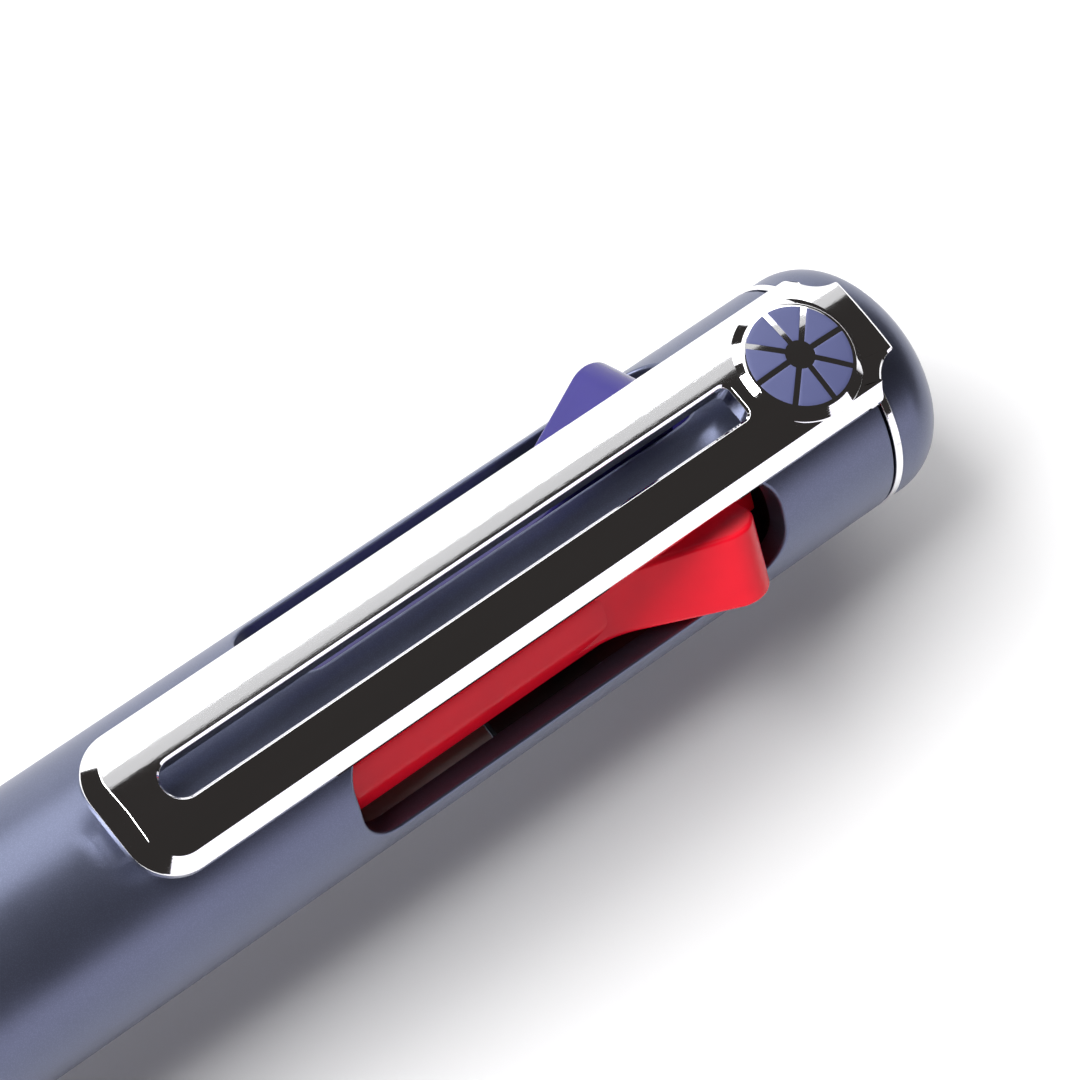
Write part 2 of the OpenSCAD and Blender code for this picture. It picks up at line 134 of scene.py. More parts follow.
class Shape:
    """Rings of points, each with the normal of the true surface there, gathered into one mesh."""

    def __init__(self, place):
        self.place = place
        self.mesh = bmesh.new()
        self.surface = self.mesh.verts.layers.float_vector.new("surface")

    def ring(self, pairs):
        made = []
        turn = self.place.to_3x3()
        for point, normal in pairs:
            vertex = self.mesh.verts.new(self.place @ Vector(point))
            vertex[self.surface] = (turn @ Vector(normal)).normalized()
            made.append(vertex)
        return made

    def skin(self, rings, closed=False, looped=True):
        """Faces between neighbouring rings, and from the last back to the first if closed."""
        pairs = list(zip(rings, rings[1:]))
        if closed:
            pairs.append((rings[-1], rings[0]))
        for a, b in pairs:
            for i in range(len(a) if looped else len(a) - 1):
                j = (i + 1) % len(a)
                self.mesh.faces.new((a[i], a[j], b[j], b[i]))

    def lid(self, ring):
        self.mesh.faces.new(ring)

    def build(self, name):
        bm = self.mesh
        bmesh.ops.remove_doubles(bm, verts=bm.verts, dist=WELD)
        loose = [e for e in bm.edges if not e.link_faces]
        bmesh.ops.delete(bm, geom=loose, context="EDGES")
        bmesh.ops.recalc_face_normals(bm, faces=bm.faces)
        data = bpy.data.meshes.new(name)
        bm.to_mesh(data)
        bm.free()
        normals = [Vector(v.vector) for v in data.attributes["surface"].data]
        data.attributes.remove(data.attributes["surface"])
        data.shade_smooth()
        data.normals_split_custom_set_from_vertices(normals)
        return link(name, data)


def link(name, data):
    obj = bpy.data.objects.new(name, data)
    bpy.context.scene.collection.objects.link(obj)
    return obj


def lathe(shape, outline, steps=96, closed=True):
    """Turns an outline of (out from the axis, along it) about the shape's own Z axis."""
    rings = []
    for (r, z), (nr, nz) in outline:
        if r < 1e-6:
            nr, nz = 0.0, math.copysign(1, nz)
        turns = [2 * math.pi * i / steps for i in range(steps)]
        rings.append(shape.ring([((r * math.cos(a), r * math.sin(a), z),
                                  (nr * math.cos(a), nr * math.sin(a), nz)) for a in turns]))
    shape.skin(rings, closed)


def prism(shape, outline, low, high, edge=0.1, steps=4, narrow=None):
    """Draws an outline out from low to high, with its end edges rounded.
    narrow gives, for a point's u, how far in the ends come there and how much rounder they are."""
    rings = []
    for end, way in ((low, -1), (high, 1)):
        tilts = [math.pi / 2 * k / steps for k in range(steps + 1)]
        for tilt in tilts[::-1] if way < 0 else tilts:
            ring = []
            for p, n in outline:
                less, softer = narrow(p.x) if narrow else (0, 0)
                soft = edge + softer
                w = end - way * (less + soft * (1 - math.sin(tilt)))
                ring.append(((*(p - n * soft * (1 - math.cos(tilt))), w),
                             (*(n * math.cos(tilt)), way * math.sin(tilt))))
            rings.append(shape.ring(ring))
    shape.skin(rings)
    shape.lid(rings[0])
    shape.lid(rings[-1])


def wire(shape, path, radius, sides=10):
    """A round wire along a path of points, closed at both ends."""
    rings = []
    for i, point in enumerate(path):
        ahead = (path[min(i + 1, len(path) - 1)] - path[max(i - 1, 0)]).normalized()
        across = ahead.cross(Vector((0, 0, 1))).normalized()
        over = across.cross(ahead)
        turns = [2 * math.pi * k / sides for k in range(sides)]
        rings.append(shape.ring([(point + (across * math.cos(a) + over * math.sin(a)) * radius,
                                  across * math.cos(a) + over * math.sin(a)) for a in turns]))
    shape.skin(rings)
    shape.lid(rings[0])
    shape.lid(rings[-1])


# ---- finishes ----

FINISHES = {}
COAT_ROUGH = 0.05


def finish(slot, colour, rough, metal=0.0, spread=0.05, patch=300, grain=9000, depth=0.01,
           uneven=0.04, stretch=(1, 1, 1), coat=0.0, specular=0.5, flakes=0.0, sub=0.0, clear=0.0,
           painted_edge_highlight=0.0):
    """A procedural finish: slow patches vary its colour and roughness, and a fine grain bumps it.
    patch and grain are cells per metre, and depth is the grain's height in mm."""
    material = bpy.data.materials.new(slot)
    material.use_nodes = True
    tree = material.node_tree
    nodes, links = tree.nodes, tree.links
    shader = nodes["Principled BSDF"]
    place = nodes.new("ShaderNodeTexCoord").outputs["Object"]
    scaled = nodes.new("ShaderNodeMapping")
    scaled.inputs["Scale"].default_value = stretch
    links.new(place, scaled.inputs["Vector"])

    def noise(scale, detail):
        node = nodes.new("ShaderNodeTexNoise")
        node.inputs["Scale"].default_value = scale
        node.inputs["Detail"].default_value = detail
        links.new(scaled.outputs["Vector"], node.inputs["Vector"])
        return node.outputs["Fac"]

    def mixed(a, b, factor):
        node = nodes.new("ShaderNodeMix")
        node.data_type = "RGBA"
        for socket, value in (("A_Color", a), ("B_Color", b)):
            target = next(s for s in node.inputs if s.identifier == socket)
            if isinstance(value, bpy.types.NodeSocket):
                links.new(value, target)
            else:
                target.default_value = (*value, 1)
        links.new(factor, node.inputs["Factor"])
        return next(s for s in node.outputs if s.identifier == "Result_Color")

    def ranged(value, low, high, out_low, out_high):
        node = nodes.new("ShaderNodeMapRange")
        limits = {"From Min": low, "From Max": high, "To Min": out_low, "To Max": out_high}
        for name, number in limits.items():
            node.inputs[name].default_value = number
        links.new(value, node.inputs["Value"])
        return node.outputs["Result"]

    patches = noise(patch, 3)
    fine = noise(grain, 2)
    shade = mixed([c * (1 - spread) for c in colour], [min(1, c * (1 + spread)) for c in colour],
                  ranged(patches, 0.3, 0.7, 0, 1))
    if flakes:
        cells = nodes.new("ShaderNodeTexVoronoi")
        cells.inputs["Scale"].default_value = grain
        links.new(scaled.outputs["Vector"], cells.inputs["Vector"])
        spark = ranged(cells.outputs["Distance"], 0.0, 0.5, flakes, 0)
        shade = mixed(shade, [min(1, c * 1.9) for c in colour], spark)
    # Convex edges, found by pointiness, get a lighter shade of the colour: a painted highlight along the
    # edges.
    if painted_edge_highlight:
        edges = ranged(nodes.new("ShaderNodeNewGeometry").outputs["Pointiness"], 0.52, 0.6, 0, painted_edge_highlight)
        shade = mixed(shade, [min(1, c * 1.5 + 0.03) for c in colour], edges)
    links.new(shade, shader.inputs["Base Color"])
    links.new(ranged(patches, 0.3, 0.7, rough - uneven, rough + uneven), shader.inputs["Roughness"])
    bump = nodes.new("ShaderNodeBump")
    bump.inputs["Strength"].default_value = 1.0
    bump.inputs["Distance"].default_value = depth * MM
    links.new(fine, bump.inputs["Height"])
    links.new(bump.outputs["Normal"], shader.inputs["Normal"])
    shader.inputs["Metallic"].default_value = metal
    shader.inputs["Coat Weight"].default_value = coat
    shader.inputs["Coat Roughness"].default_value = COAT_ROUGH
    shader.inputs["Specular IOR Level"].default_value = specular
    shader.inputs["Transmission Weight"].default_value = clear
    if sub:
        shader.inputs["Subsurface Weight"].default_value = sub
        shader.inputs["Subsurface Radius"].default_value = (1.0, 0.4, 0.3)
        shader.inputs["Subsurface Scale"].default_value = 0.6 * MM
    FINISHES[slot] = material


# The blue paint's convex edges get a painted highlight (lighter colour at the edges).
finish("body_paint", (0.122, 0.136, 0.205), 0.36, metal=0.8, spread=0.05, patch=160, grain=16000,
       depth=0.004, uneven=0.03, flakes=0.35, painted_edge_highlight=0.2)
finish("chrome", (0.90, 0.90, 0.92), 0.045, metal=1.0, spread=0.02, patch=500, grain=12000,
       depth=0.0004, uneven=0.015, stretch=(0.15, 1, 1))
finish("satin_chrome", (0.58, 0.58, 0.60), 0.20, metal=1.0, spread=0.03, patch=400, grain=12000,
       depth=0.001, uneven=0.04, stretch=(0.15, 1, 1))
finish("steel", (0.60, 0.60, 0.62), 0.24, metal=1.0, spread=0.05, grain=9000, depth=0.002, uneven=0.06)
finish("spring_steel", (0.56, 0.56, 0.58), 0.28, metal=1.0, spread=0.08,
       grain=14000, depth=0.002, uneven=0.07)
finish("brass", (0.80, 0.60, 0.28), 0.26, metal=1.0, spread=0.08, grain=9000, depth=0.002, uneven=0.07)
finish("nickel_silver", (0.72, 0.66, 0.54), 0.22, metal=1.0, spread=0.05,
       grain=9000, depth=0.001, uneven=0.05)
finish("carbide", (0.42, 0.42, 0.44), 0.14, metal=1.0, spread=0.05,
       grain=20000, depth=0.0005, uneven=0.04)
finish("enamel", (0.088, 0.098, 0.215), 0.45, spread=0.05,
       grain=7000, depth=0.001, uneven=0.05, specular=0.3)
finish("guide_plastic", (0.45, 0.45, 0.43), 0.42, spread=0.04,
       grain=7000, depth=0.004, uneven=0.06, sub=0.15)
finish("black_plastic", (0.012, 0.012, 0.014), 0.40, spread=0.2, grain=7000, depth=0.004, uneven=0.06)
finish("red_plastic", (0.92, 0.008, 0.026), 0.22, spread=0.05, grain=5000, depth=0.0015, uneven=0.04,
       coat=0.03, specular=0.15, sub=0.12)
finish("blue_plastic", (0.030, 0.024, 0.155), 0.22, spread=0.05, grain=5000, depth=0.0015, uneven=0.04,
       coat=0.1, specular=0.3, sub=0.08)
finish("slider_black", (0.010, 0.010, 0.012), 0.20, spread=0.15,
       grain=5000, depth=0.0015, uneven=0.04, coat=0.35)
finish("tube_plastic", (0.80, 0.80, 0.77), 0.30, spread=0.03,
       grain=5000, depth=0.002, uneven=0.05, clear=0.35)
finish("rubber", (0.022, 0.023, 0.026), 0.62, spread=0.15, patch=700,
       grain=9000, depth=0.012, uneven=0.08)
for ink, tint in (("red", (0.35, 0.004, 0.010)), ("blue", (0.010, 0.015, 0.20)),
                  ("black", (0.006, 0.006, 0.008))):
    finish("ink_" + ink, tint, 0.15, spread=0.1, grain=3000, depth=0.001, uneven=0.05)


def dress(obj, slot, body, *replaced):
    """Gives a new piece its finish and its body, and hides the CAD nodes it stands for."""
    obj.data.materials.clear()
    obj.data.materials.append(FINISHES[slot])
    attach(obj, body)
    if replaced:
        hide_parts(*replaced)
    return obj


TURNED_STEPS = 128


def turned(name, node, slot, corners):
    """A turned piece that stands for one CAD node.
    Its corners are (out from the axis, along it, radius[, steps])."""
    shape = Shape(PEN_AXIS)
    lathe(shape, rounded(corners), TURNED_STEPS)
    return dress(shape.build(name), slot, BODY_OF[node], node)


# ---- rear barrel, with three soft-edged slots ----

SLOT_REAR = SEAT_X - 7.66
SLOT_FRONT = SLOT_REAR - 26.3
SLOT_HALF = 2.8
SLOT_CORNER = 2.2
SLOT_EDGE = 0.22
SLOT_INNER_EDGE = 0.05
SLOT_MARGIN = 2.6
BARREL_FRONT = along("rear_barrel", 0)
BARREL_REAR = along("rear_barrel", 1)
ARC_STEPS = 12
END_STEPS = 12
SIDE_STEPS = 24
SPREAD_STEPS = 6
RIM_STEPS = 6
PLAIN_ANGLES = (112.5, -112.5)


def between(a, b, count):
    """Evenly spaced values inside a to b, without the ends."""
    return [a + (b - a) * k / count for k in range(1, count)]


def slot_outline():
    """The slot seen from above as (along, sideways), starting halfway round its front lower corner."""
    x0, x1, h, c = SLOT_FRONT, SLOT_REAR, SLOT_HALF, SLOT_CORNER
    corners = [(x0, -h, c, ARC_STEPS)]
    corners += [(x, -h, 0) for x in between(x0 + c, x1 - c, SIDE_STEPS)]
    corners += [(x1, -h, c, ARC_STEPS)]
    corners += [(x1, s, 0) for s in between(c - h, h - c, END_STEPS)]
    corners += [(x1, h, c, ARC_STEPS)]
    corners += [(x, h, 0) for x in between(x1 - c, x0 + c, SIDE_STEPS)]
    corners += [(x0, h, c, ARC_STEPS)]
    corners += [(x0, s, 0) for s in between(h - c, c - h, END_STEPS)]
    outline = rounded(corners)
    half = ARC_STEPS // 2
    return outline[half:] + outline[:half]


def quarter_frame():
    """The border of one quarter of the barrel as (along, turn), matching slot_outline point by point."""
    x0, x1 = SLOT_FRONT - SLOT_MARGIN, SLOT_REAR + SLOT_MARGIN
    side, end = ARC_STEPS + SIDE_STEPS, ARC_STEPS + END_STEPS
    q = math.pi / 4
    border = [(x0 + (x1 - x0) * k / side, -q) for k in range(side)]
    border += [(x1, -q + 2 * q * k / end) for k in range(end)]
    border += [(x1 - (x1 - x0) * k / side, q) for k in range(side)]
    border += [(x0, q - 2 * q * k / end) for k in range(end)]
    return border


def wrapped(x, turn, radius, way=1):
    """A point on a cylinder about the pen's axis, with its normal."""
    out = Vector((0, math.sin(turn), math.cos(turn)))
    return (x, *(out * radius).yz), out * way


def quarter(shape):
    slot, border = slot_outline(), quarter_frame()

    def cut(offset, depth, tilt):
        """Ring round the slot, offset outwards in plan, at a depth, its normal tilted up from the wall's."""
        pairs = []
        for p, n in slot:
            x, s = p + n * offset
            height = math.sqrt(BARREL_R ** 2 - s * s) - depth
            out = Vector((0, s, height)).normalized()
            wall = Vector((-n.x, -n.y, 0))
            pairs.append(((x, s, height), wall * math.cos(tilt) + out * math.sin(tilt)))
        return shape.ring(pairs)

    def spread(offset, radius, way, shares):
        """Rings from round the slot out to the quarter's border."""
        rings = []
        for share in shares:
            pairs = []
            for (p, n), (x1, turn1) in zip(slot, border):
                x, s = p + n * offset
                turn = math.asin(s / radius)
                pairs.append(wrapped(x + (x1 - x) * share, turn + (turn1 - turn) * share, radius, way))
            rings.append(shape.ring(pairs))
        return rings

    shares = [k / SPREAD_STEPS for k in range(1, SPREAD_STEPS + 1)]
    inner = spread(SLOT_INNER_EDGE, BORE_R, -1, [0] + shares)
    low = []
    for p, n in slot:
        height = math.sqrt(BORE_R ** 2 - p.y ** 2) + SLOT_INNER_EDGE
        low.append(((p.x, p.y, height), (-n.x, -n.y, 0)))
    rim = [cut(SLOT_EDGE * (1 - math.cos(t)), SLOT_EDGE * (1 - math.sin(t)), t)
           for t in [math.pi / 2 * k / RIM_STEPS for k in range(RIM_STEPS + 1)]]
    outer = spread(SLOT_EDGE, BARREL_R, 1, shares)
    shape.skin(inner[::-1] + [shape.ring(low)] + rim + outer)


def plain_sector(shape):
    """The barrel's outer and inner faces between two quarters, point by point with their borders."""
    x0, x1 = SLOT_FRONT - SLOT_MARGIN, SLOT_REAR + SLOT_MARGIN
    side, end = ARC_STEPS + SIDE_STEPS, (ARC_STEPS + END_STEPS) // 2
    for radius, way in ((BARREL_R, 1), (BORE_R, -1)):
        turns = [math.pi / 4 * (k / end - 0.5) for k in range(end + 1)]
        spots = [x0 + (x1 - x0) * i / side for i in range(side + 1)]
        rings = [shape.ring([wrapped(x, turn, radius, way) for x in spots]) for turn in turns]
        shape.skin(rings, looped=False)


def rear_barrel():
    shape = Shape(pen_side())
    for angle in COLOURS.values():
        shape.place = pen_side(angle)
        quarter(shape)
    for angle in PLAIN_ANGLES:
        shape.place = pen_side(angle)
        plain_sector(shape)
    shape.place = PEN_AXIS
    steps = 4 * (ARC_STEPS + END_STEPS)
    x0, x1 = SLOT_FRONT - SLOT_MARGIN, SLOT_REAR + SLOT_MARGIN
    r, b = BARREL_R, BORE_R
    front = rounded([(b, x0, 0), (b, BARREL_FRONT, 0.05), (r, BARREL_FRONT, 0.12), (r, x0, 0)])
    rear = rounded([(r, x1, 0), (r, BARREL_REAR, 0.08), (b, BARREL_REAR, 0.05), (b, x1, 0)])
    for outline, first in ((front, -1), (rear, 1)):
        outline[0] = (outline[0][0], Vector((first, 0)))
        outline[-1] = (outline[-1][0], Vector((-first, 0)))
        lathe(shape, outline, steps, closed=False)
    return dress(shape.build("barrel_shell"), "body_paint", "rear", "rear_barrel")


# ---- turned pieces of the body ----

CAP_STRAIGHT = 0.8
SHOULDER_R = 3.0
CAP_SPIGOT = 3.5
CAP_FIT = 0.03
CAP_HOLLOW = 1.1
CAP_ROOF = 1.2


def cap():
    rise = CROWN_X - SEAT_X - CAP_STRAIGHT
    inner = BARREL_R - SHOULDER_R
    crown_r = (rise ** 2 + inner ** 2 - SHOULDER_R ** 2) / (2 * (rise - SHOULDER_R))
    tilt = math.atan2(inner, crown_r - rise)
    shoulder = SEAT_X + CAP_STRAIGHT + SHOULDER_R * math.tan((math.pi / 2 - tilt) / 2)
    spigot, hollow = BORE_R - CAP_FIT, BORE_R - CAP_HOLLOW
    foot, roof = SEAT_X - CAP_SPIGOT, SEAT_X + CAP_ROOF
    turned("cap_shell", "cap", "body_paint", [
        (hollow, foot, 0.1), (spigot, foot, 0.25), (spigot, SEAT_X, 0.03),
        (BARREL_R, SEAT_X, 0.12), (BARREL_R, shoulder, SHOULDER_R, 20),
        (crown_r * math.tan(tilt / 2), CROWN_X, crown_r, 14), (0, CROWN_X, 0),
        (0, roof, 0), (hollow, roof, 0.4)])


def cap_ring():
    front = along("cap_ring", 0)
    turned("cap_ring_trim", "cap_ring", "chrome", [
        (BORE_R, front, 0.02), (RING_R, front, 0.09), (RING_R, SEAT_X, 0.09), (BORE_R, SEAT_X, 0.02)])


FRONT_R = 6.2
FRONT_BORE = 4.45
SCREW_BORE = 5.35
SCREW_FRONT = 60.5
SOCKET_R = 4.62
SOCKET_DEEP = 6
GRIP_SEAT_R = 5.3
NOSE_END = along("front_barrel", 0)
GRIP_X = NOSE_END + 2
GRIP_LENGTH = 28
GRIP_END = GRIP_X + GRIP_LENGTH
FRONT_REAR = along("front_barrel", 1)


def front_barrel():
    turned("front_barrel_shell", "front_barrel", "body_paint", [
        (SOCKET_R, NOSE_END, 0.05), (FRONT_R, NOSE_END, 0.12),
        (FRONT_R, GRIP_X, 0.12), (GRIP_SEAT_R, GRIP_X, 0.05),
        (GRIP_SEAT_R, GRIP_END, 0.05), (FRONT_R, GRIP_END, 0.12),
        (FRONT_R, FRONT_REAR, 0.15), (SCREW_BORE, FRONT_REAR, 0.15),
        (SCREW_BORE, SCREW_FRONT, 0.1), (FRONT_BORE, SCREW_FRONT, 0.1),
        (FRONT_BORE, NOSE_END + SOCKET_DEEP, 0.1), (SOCKET_R, NOSE_END + SOCKET_DEEP, 0.05)])


GRIP_R = 6.0
GRIP_GROOVES = 9
GROOVE_HALF = 0.55
GROOVE_DEEP = 0.36
GROOVE_FLOOR = 0.3
GRIP_PLAIN = 2
GRIP_GAP = 0.02


def grip():
    step = (GRIP_END - GRIP_X - 2 * GRIP_PLAIN) / GRIP_GROOVES
    floor_r = GRIP_R - GROOVE_DEEP
    corners = [(GRIP_SEAT_R, GRIP_X + GRIP_GAP, 0.05), (GRIP_R, GRIP_X + GRIP_GAP, 0.3)]
    for i in range(GRIP_GROOVES):
        middle = GRIP_X + GRIP_PLAIN + (i + 0.5) * step
        corners += [(GRIP_R, middle - GROOVE_HALF, 0.15), (floor_r, middle - GROOVE_FLOOR, 0.3),
                    (floor_r, middle + GROOVE_FLOOR, 0.3), (GRIP_R, middle + GROOVE_HALF, 0.15)]
    corners += [(GRIP_R, GRIP_END - GRIP_GAP, 0.3), (GRIP_SEAT_R, GRIP_END - GRIP_GAP, 0.05)]
    turned("grip_sleeve", "grip", "rubber", corners)


MOUTH_R = 1.3
SPIGOT_R = 4.6
SPIGOT_REAR = NOSE_END + 5.5
NOSE_BORE = 3.9
CENTRE_R = 6.0
CENTRE_GROOVE_R = 5.82
CENTRE_GROOVE_HALF, CENTRE_GROOVE_FLOOR = 0.22, 0.1


def nose_cone():
    """The nose has the chrome's slot but a softer polish than the clip."""
    cone = turned("nose_cone_shell", "nose_cone", "chrome", [
        (MOUTH_R, 0, 0.05), (1.78, 0, 0.15), (1.9, 0.3, 0.3), (4.9, 13, 12), (6.1, NOSE_END, 0.1),
        (SPIGOT_R, NOSE_END, 0.05), (SPIGOT_R, SPIGOT_REAR, 0.1), (NOSE_BORE, SPIGOT_REAR, 0.1),
        (NOSE_BORE, NOSE_END, 2), (3.75, 10.5, 1), (MOUTH_R, 1, 0.1)])
    cone.data.materials[0] = FINISHES["satin_chrome"]


def centre_ring():
    x0, x1 = along("centre_ring", 0), along("centre_ring", 1)
    middle, r, groove = (x0 + x1) / 2, CENTRE_R, CENTRE_GROOVE_R
    wide, flat = CENTRE_GROOVE_HALF, CENTRE_GROOVE_FLOOR
    turned("centre_ring_band", "centre_ring", "chrome", [
        (SCREW_BORE, x0, 0.05), (r, x0, 0.15),
        (r, middle - wide, 0.06), (groove, middle - flat, 0.1),
        (groove, middle + flat, 0.1), (r, middle + wide, 0.06),
        (r, x1, 0.15), (SCREW_BORE, x1, 0.05)])


# ---- clip ----

CLIP_TIP = along("clip", 0)
CLIP_END = SEAT_X + 0.2
CLIP_HALF = 3.8
CLIP_TOP = 8.85
CLIP_UNDER = 7.5
CLIP_CORNER = 2.4
CROWN_SWEEP = 20
BEVEL_FOOT = 7.95
WINDOW_HALF = 0.975
WINDOW_FRONT = CLIP_TIP + 2.95
WINDOW_REAR = SEAT_X - 8.1
PIVOT_X = SEAT_X - 4.24
PIVOT_R = 7.0
EAR_HALF = 0.75
CLIP_PLACE = pen_side(CLIP_ANGLE)
HORN = (CLIP_END, 2.15)
SCALLOP = (CLIP_END - 1.515, 2.309)
SHOULDER_X = CLIP_END - 1.8
HORN_R, SCALLOP_R = 0.12, 1.9
HORN_STEPS, SCALLOP_STEPS, TIP_STEPS, ACROSS_STEPS = 3, 14, 14, 6
HORN_BEVEL, HORN_DROP = 0.1, 0.09
BEVEL_TRIES = 20
BEVEL_SHARES = (0.06, 0.97)
CROWN_STEPS = 8
UNDER_EDGE = 0.12
WINDOW_TIP_R, WINDOW_CORNER = 0.97, 0.4
WINDOW_BORDER = 0.16
WINDOW_RIM = ((0.13, 0.012, 45), (0.03, 0.12, 45), (0, 0.17, 0))
NUB_X, NUB_R, NUB_HALF = CLIP_TIP + 1.35, 1.25, 1.4
EAR_SIDE, EAR_THICK = 1.9, 0.9


def crown(side):
    """Height and normal of the clip's crowned top at a distance from its middle line."""
    drop = CROWN_SWEEP - math.sqrt(CROWN_SWEEP ** 2 - side ** 2)
    return CLIP_TOP - drop, Vector((0, side / CROWN_SWEEP, math.sqrt(1 - (side / CROWN_SWEEP) ** 2)))


def clip_outline():
    """The clip from above as (along, sideways), anticlockwise from its tip."""
    def head(way):
        return [(SHOULDER_X, way * CLIP_HALF, HORN_R, HORN_STEPS),
                (SCALLOP[0], way * SCALLOP[1], SCALLOP_R, SCALLOP_STEPS),
                (HORN[0], way * HORN[1], HORN_R, HORN_STEPS)]
    across = between(-HORN[1], HORN[1], ACROSS_STEPS)
    return rounded([(CLIP_TIP, 0, 0), (CLIP_TIP, -CLIP_HALF, CLIP_CORNER, TIP_STEPS), *head(-1),
                    *[(CLIP_END, s, 0) for s in across], *head(1)[::-1],
                    (CLIP_TIP, CLIP_HALF, CLIP_CORNER, TIP_STEPS)])


def window_outline():
    """The clip's window, matching clip_outline point by point."""
    head_steps = 2 * HORN_STEPS + SCALLOP_STEPS + 2
    half, corner = WINDOW_HALF, WINDOW_CORNER
    across = between(corner - half, half - corner, ACROSS_STEPS)
    return rounded([(WINDOW_FRONT, 0, 0), (WINDOW_FRONT, -half, WINDOW_TIP_R, TIP_STEPS),
                    (WINDOW_REAR, -half, corner, head_steps), *[(WINDOW_REAR, s, 0) for s in across],
                    (WINDOW_REAR, half, corner, head_steps),
                    (WINDOW_FRONT, half, WINDOW_TIP_R, TIP_STEPS)])


def clip_edge(outline):
    """For each outline point: the bevel's upper edge, the wall's top, and the bevel's normal."""
    side_in = CLIP_HALF
    for _ in range(BEVEL_TRIES):
        side_in = CLIP_HALF - (crown(side_in)[0] - BEVEL_FOOT)
    found = []
    meet = {}
    for p, n in outline:
        if p.x > SHOULDER_X + 0.1 and abs(p.y) <= side_in:
            key = math.copysign(1, p.y)
            if key not in meet or p.x < meet[key]:
                meet[key] = p.x
    for p, n in outline:
        way = math.copysign(1, p.y)
        if p.x < SHOULDER_X - 0.12:
            inset = 0.5
            for _ in range(BEVEL_TRIES):
                inset = crown((p - n * inset).y)[0] - BEVEL_FOOT
            found.append((p - n * inset, BEVEL_FOOT, Vector((n.x, n.y, 1)).normalized()))
        elif abs(p.y) > side_in:
            corner = Vector((meet[way] - 0.02, way * side_in))
            found.append((corner, BEVEL_FOOT + CLIP_HALF - abs(p.y), Vector((0, way, 1)).normalized()))
        else:
            top = crown(p.y)[0] - HORN_DROP
            found.append((p - n * HORN_BEVEL, top, Vector((n.x, n.y, 1)).normalized()))
    return found


def on_crown(p):
    height, normal = crown(p.y)
    return (p.x, p.y, height), normal


def clip():
    shape = Shape(CLIP_PLACE)
    outline, window = clip_outline(), window_outline()
    edges = clip_edge(outline)
    down = Vector((0, 0, -1))
    rings = []
    rings.append([((*(p - n * UNDER_EDGE), CLIP_UNDER), down) for p, n in outline])
    rings.append([((*(p - n * 0.035), CLIP_UNDER + 0.035), (n.x, n.y, -1)) for p, n in outline])
    rings.append([((*p, CLIP_UNDER + UNDER_EDGE), (*n, 0)) for p, n in outline])
    rings.append([((*p, top - 0.04), (*n, 0)) for (p, n), (_c, top, _b) in zip(outline, edges)])
    for share in BEVEL_SHARES:
        ring = []
        for (p, n), (corner, top, bevel) in zip(outline, edges):
            spot = p + (corner - p) * share
            sunk = 0.012 if share > 0.5 else 0
            ring.append(((*spot, top + (crown(corner.y)[0] - top) * share - sunk), bevel))
        rings.append(ring)
    inner = []
    for (p, n), (corner, _t, _b) in zip(outline, edges):
        inner.append(corner - n * 0.04)
    hole = [p + n * WINDOW_BORDER for p, n in window]
    for k in range(CROWN_STEPS + 1):
        rings.append([on_crown(a + (b - a) * k / CROWN_STEPS) for a, b in zip(inner, hole)])
    for inset, drop, tilt in WINDOW_RIM:
        t = math.radians(tilt)
        rings.append([((*(p + n * inset), crown(p.y)[0] - drop),
                       (-n.x * math.cos(t), -n.y * math.cos(t), math.sin(t))) for p, n in window])
    rings.append([((*p, CLIP_UNDER + 0.1), (-n.x, -n.y, 0)) for p, n in window])
    rings.append([((*(p + n * 0.1), CLIP_UNDER), down) for p, n in window])
    shape.skin([shape.ring(r) for r in rings], closed=True)
    clip_nub(shape)
    clip_ears(shape)
    return dress(shape.build("clip_plate"), "chrome", "clip", "clip")


def clip_nub(shape):
    """The rounded pad under the clip's tip that bears on the barrel."""
    shape.place = standing_across(CLIP_ANGLE)
    x, r = NUB_X, NUB_R
    root, low = CLIP_UNDER + 0.4, CLIP_UNDER + 0.25 - r
    pad = rounded([(x - r, root, 0.02), (x - r, low, 1.2, 12), (x + r, low, 1.2, 12), (x + r, root, 0.02)])
    prism(shape, pad, -NUB_HALF, NUB_HALF, 0.35, 5)


def clip_ears(shape):
    """The two lugs that the hinge pin passes through."""
    shape.place = standing_across(CLIP_ANGLE)
    half, top = EAR_HALF, CLIP_UNDER + 0.3
    lug = rounded([(PIVOT_X - half, top, 0.05), (PIVOT_X - half, PIVOT_R - half, 0.7, 10),
                   (PIVOT_X + half, PIVOT_R - half, 0.7, 10), (PIVOT_X + half, top, 0.05)])
    for side in (-EAR_SIDE, EAR_SIDE):
        prism(shape, lug, side - EAR_THICK / 2, side + EAR_THICK / 2, 0.08)


# ---- the boss on the clip and its enamel ----

BOSS_R = 3.3
BOSS_SHOULDER = 2.78
BOSS_TOP = CLIP_TOP + 0.5
DOME_SWEEP = 20
BADGE_R = 2.65
BADGE_CENTRE_R = 0.75
BADGE_SEGMENTS = 8
BADGE_GAP = 0.14
BADGE_PROUD = 0.018


def dome(r):
    return BOSS_TOP - 0.02 - (DOME_SWEEP - math.sqrt(DOME_SWEEP ** 2 - r * r))


def clip_boss():
    base = CLIP_TOP - 0.45
    corners = [(0, base, 0), (BOSS_R, base, 0.02), (BOSS_R, CLIP_TOP - 0.16, 0.10),
               (BOSS_SHOULDER, dome(BOSS_SHOULDER), 0.3, 8)]
    corners += [(r, dome(r), 0) for r in (2.6, 2.2, 1.8, 1.4, 1.0, 0.5, 0)]
    outline = rounded(corners)
    shape = Shape(CLIP_PLACE @ Matrix.Translation((PIVOT_X, 0, 0)))
    lathe(shape, outline, 96)
    dress(shape.build("clip_boss_button"), "chrome", "clip", "clip_boss")


